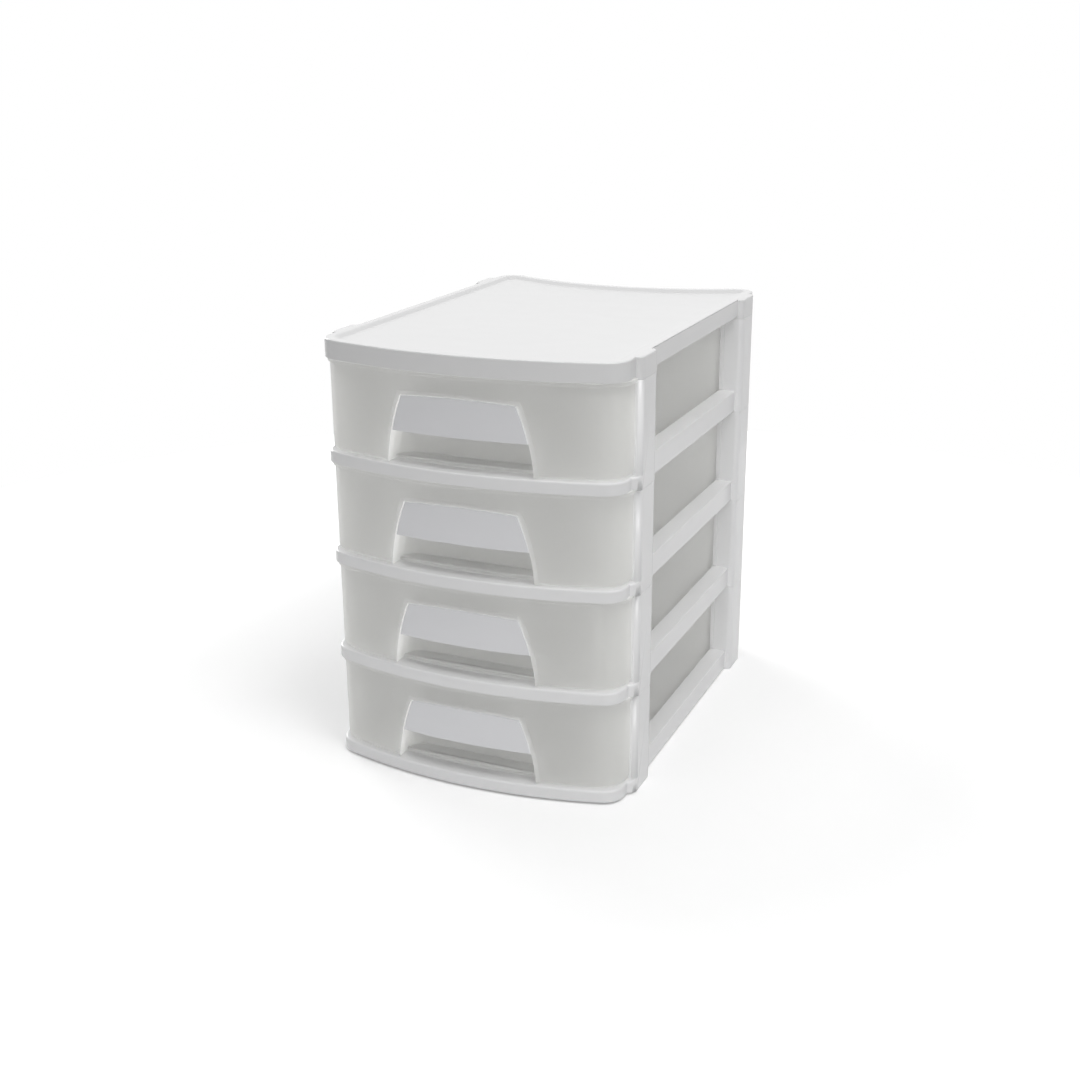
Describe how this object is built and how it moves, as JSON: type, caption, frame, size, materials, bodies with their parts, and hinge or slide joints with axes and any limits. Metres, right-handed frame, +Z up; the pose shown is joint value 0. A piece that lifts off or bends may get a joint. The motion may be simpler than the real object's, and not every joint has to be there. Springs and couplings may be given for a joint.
{
  "type": "drawer organizer tower",
  "caption": "Desktop tower of stacked tier frames with a top cover and sliding translucent drawers, each with a finger recess and a handle plate.",
  "frame": {"origin": "on the surface the tower stands on, under the middle of its width and depth", "axes": "+X to the right seen from the front, -Y towards the front where the drawers pull out, +Z up"},
  "size_m": [0.184, 0.255, 0.248],
  "materials": {
    "cover_white": "satin gloss",
    "frame_white": "satin gloss",
    "drawer_translucent": "milky translucent, glossy",
    "handle_white": "satin gloss"
  },
  "bodies": {
    "root": {"top_cover": "cover_white", "tier_frame_1": "frame_white", "tier_frame_2": "frame_white", "tier_frame_3": "frame_white", "tier_frame_4": "frame_white"},
    "drawer_body_1": {"drawer_1": "drawer_translucent", "handle_plate_1": "handle_white"},
    "drawer_body_2": {"drawer_2": "drawer_translucent", "handle_plate_2": "handle_white"},
    "drawer_body_3": {"drawer_3": "drawer_translucent", "handle_plate_3": "handle_white"},
    "drawer_body_4": {"drawer_4": "drawer_translucent", "handle_plate_4": "handle_white"}
  },
  "joints": [
    {"name": "drawer_1_slide", "type": "slide", "parent": "root", "child": "drawer_body_1", "axis": [0, -1, 0], "range_m": [0, 0.17]},
    {"name": "drawer_2_slide", "type": "slide", "parent": "root", "child": "drawer_body_2", "axis": [0, -1, 0], "range_m": [0, 0.17]},
    {"name": "drawer_3_slide", "type": "slide", "parent": "root", "child": "drawer_body_3", "axis": [0, -1, 0], "range_m": [0, 0.17]},
    {"name": "drawer_4_slide", "type": "slide", "parent": "root", "child": "drawer_body_4", "axis": [0, -1, 0], "range_m": [0, 0.17]}
  ]
}
